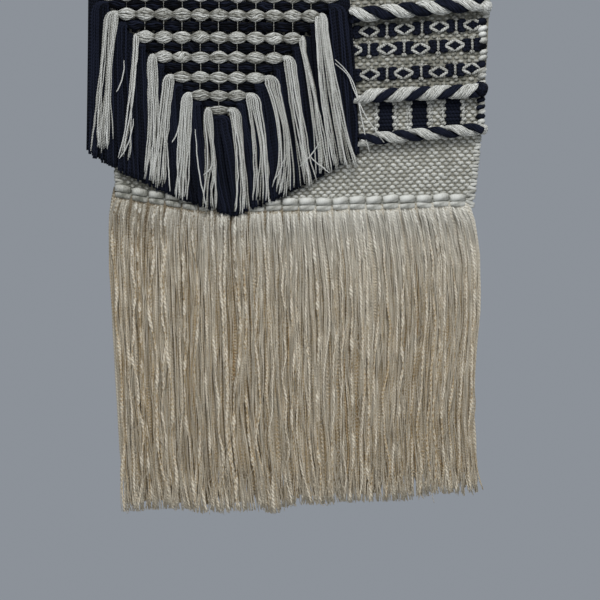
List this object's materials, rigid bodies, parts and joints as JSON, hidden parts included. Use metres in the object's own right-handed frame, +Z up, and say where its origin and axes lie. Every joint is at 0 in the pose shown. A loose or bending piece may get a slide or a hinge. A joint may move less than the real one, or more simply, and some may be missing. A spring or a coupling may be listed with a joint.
{
  "type": "woven wall hanging",
  "caption": "Woven cream and navy wall hanging with bubble rows that end in tassels, twisted ropes, small diamond bands and a long cream fringe.",
  "frame": {"origin": "middle of the top edge, in the cloth's middle plane", "axes": "+Z up, the front faces -Y, +X to the right seen from the front"},
  "size_m": [0.4263, 0.0254, 0.6119],
  "materials": {
    "cream_weave": "matt cotton plain weave",
    "cream_yarn": "matt cotton roving",
    "navy_yarn": "matt dyed cotton roving",
    "fringe_yarn": "soft slubby cotton, slightly glossy"
  },
  "bodies": {
    "root": {"base_cloth": "cream_weave", "rope_upper_cream": "cream_yarn", "rope_upper_navy": "navy_yarn", "rope_middle_cream": "cream_yarn", "rope_middle_navy": "navy_yarn", "rope_lower_cream": "cream_yarn", "rope_lower_navy": "navy_yarn", "cream_row_01": "cream_yarn", "cream_row_03": "cream_yarn", "cream_row_05": "cream_yarn", "cream_row_07": "cream_yarn", "cream_row_09": "cream_yarn", "cream_row_11": "cream_yarn", "cream_row_13": "cream_yarn", "navy_row_02": "navy_yarn", "navy_row_04": "navy_yarn", "navy_row_06": "navy_yarn", "navy_row_08": "navy_yarn", "navy_row_10": "navy_yarn", "navy_row_12": "navy_yarn", "navy_row_14": "navy_yarn", "navy_centre_tassel": "navy_yarn", "fringe_bunch_01": "fringe_yarn", "fringe_bunch_02": "fringe_yarn", "fringe_bunch_03": "fringe_yarn", "fringe_bunch_04": "fringe_yarn", "fringe_bunch_05": "fringe_yarn", "fringe_bunch_06": "fringe_yarn", "fringe_bunch_07": "fringe_yarn", "fringe_bunch_08": "fringe_yarn", "fringe_bunch_09": "fringe_yarn", "fringe_bunch_10": "fringe_yarn", "fringe_bunch_11": "fringe_yarn", "fringe_bunch_12": "fringe_yarn", "fringe_bunch_13": "fringe_yarn", "fringe_bunch_14": "fringe_yarn", "fringe_bunch_15": "fringe_yarn", "fringe_bunch_16": "fringe_yarn", "fringe_bunch_17": "fringe_yarn", "fringe_bunch_18": "fringe_yarn", "fringe_bunch_19": "fringe_yarn", "fringe_bunch_20": "fringe_yarn", "fringe_bunch_21": "fringe_yarn"}
  },
  "joints": []
}
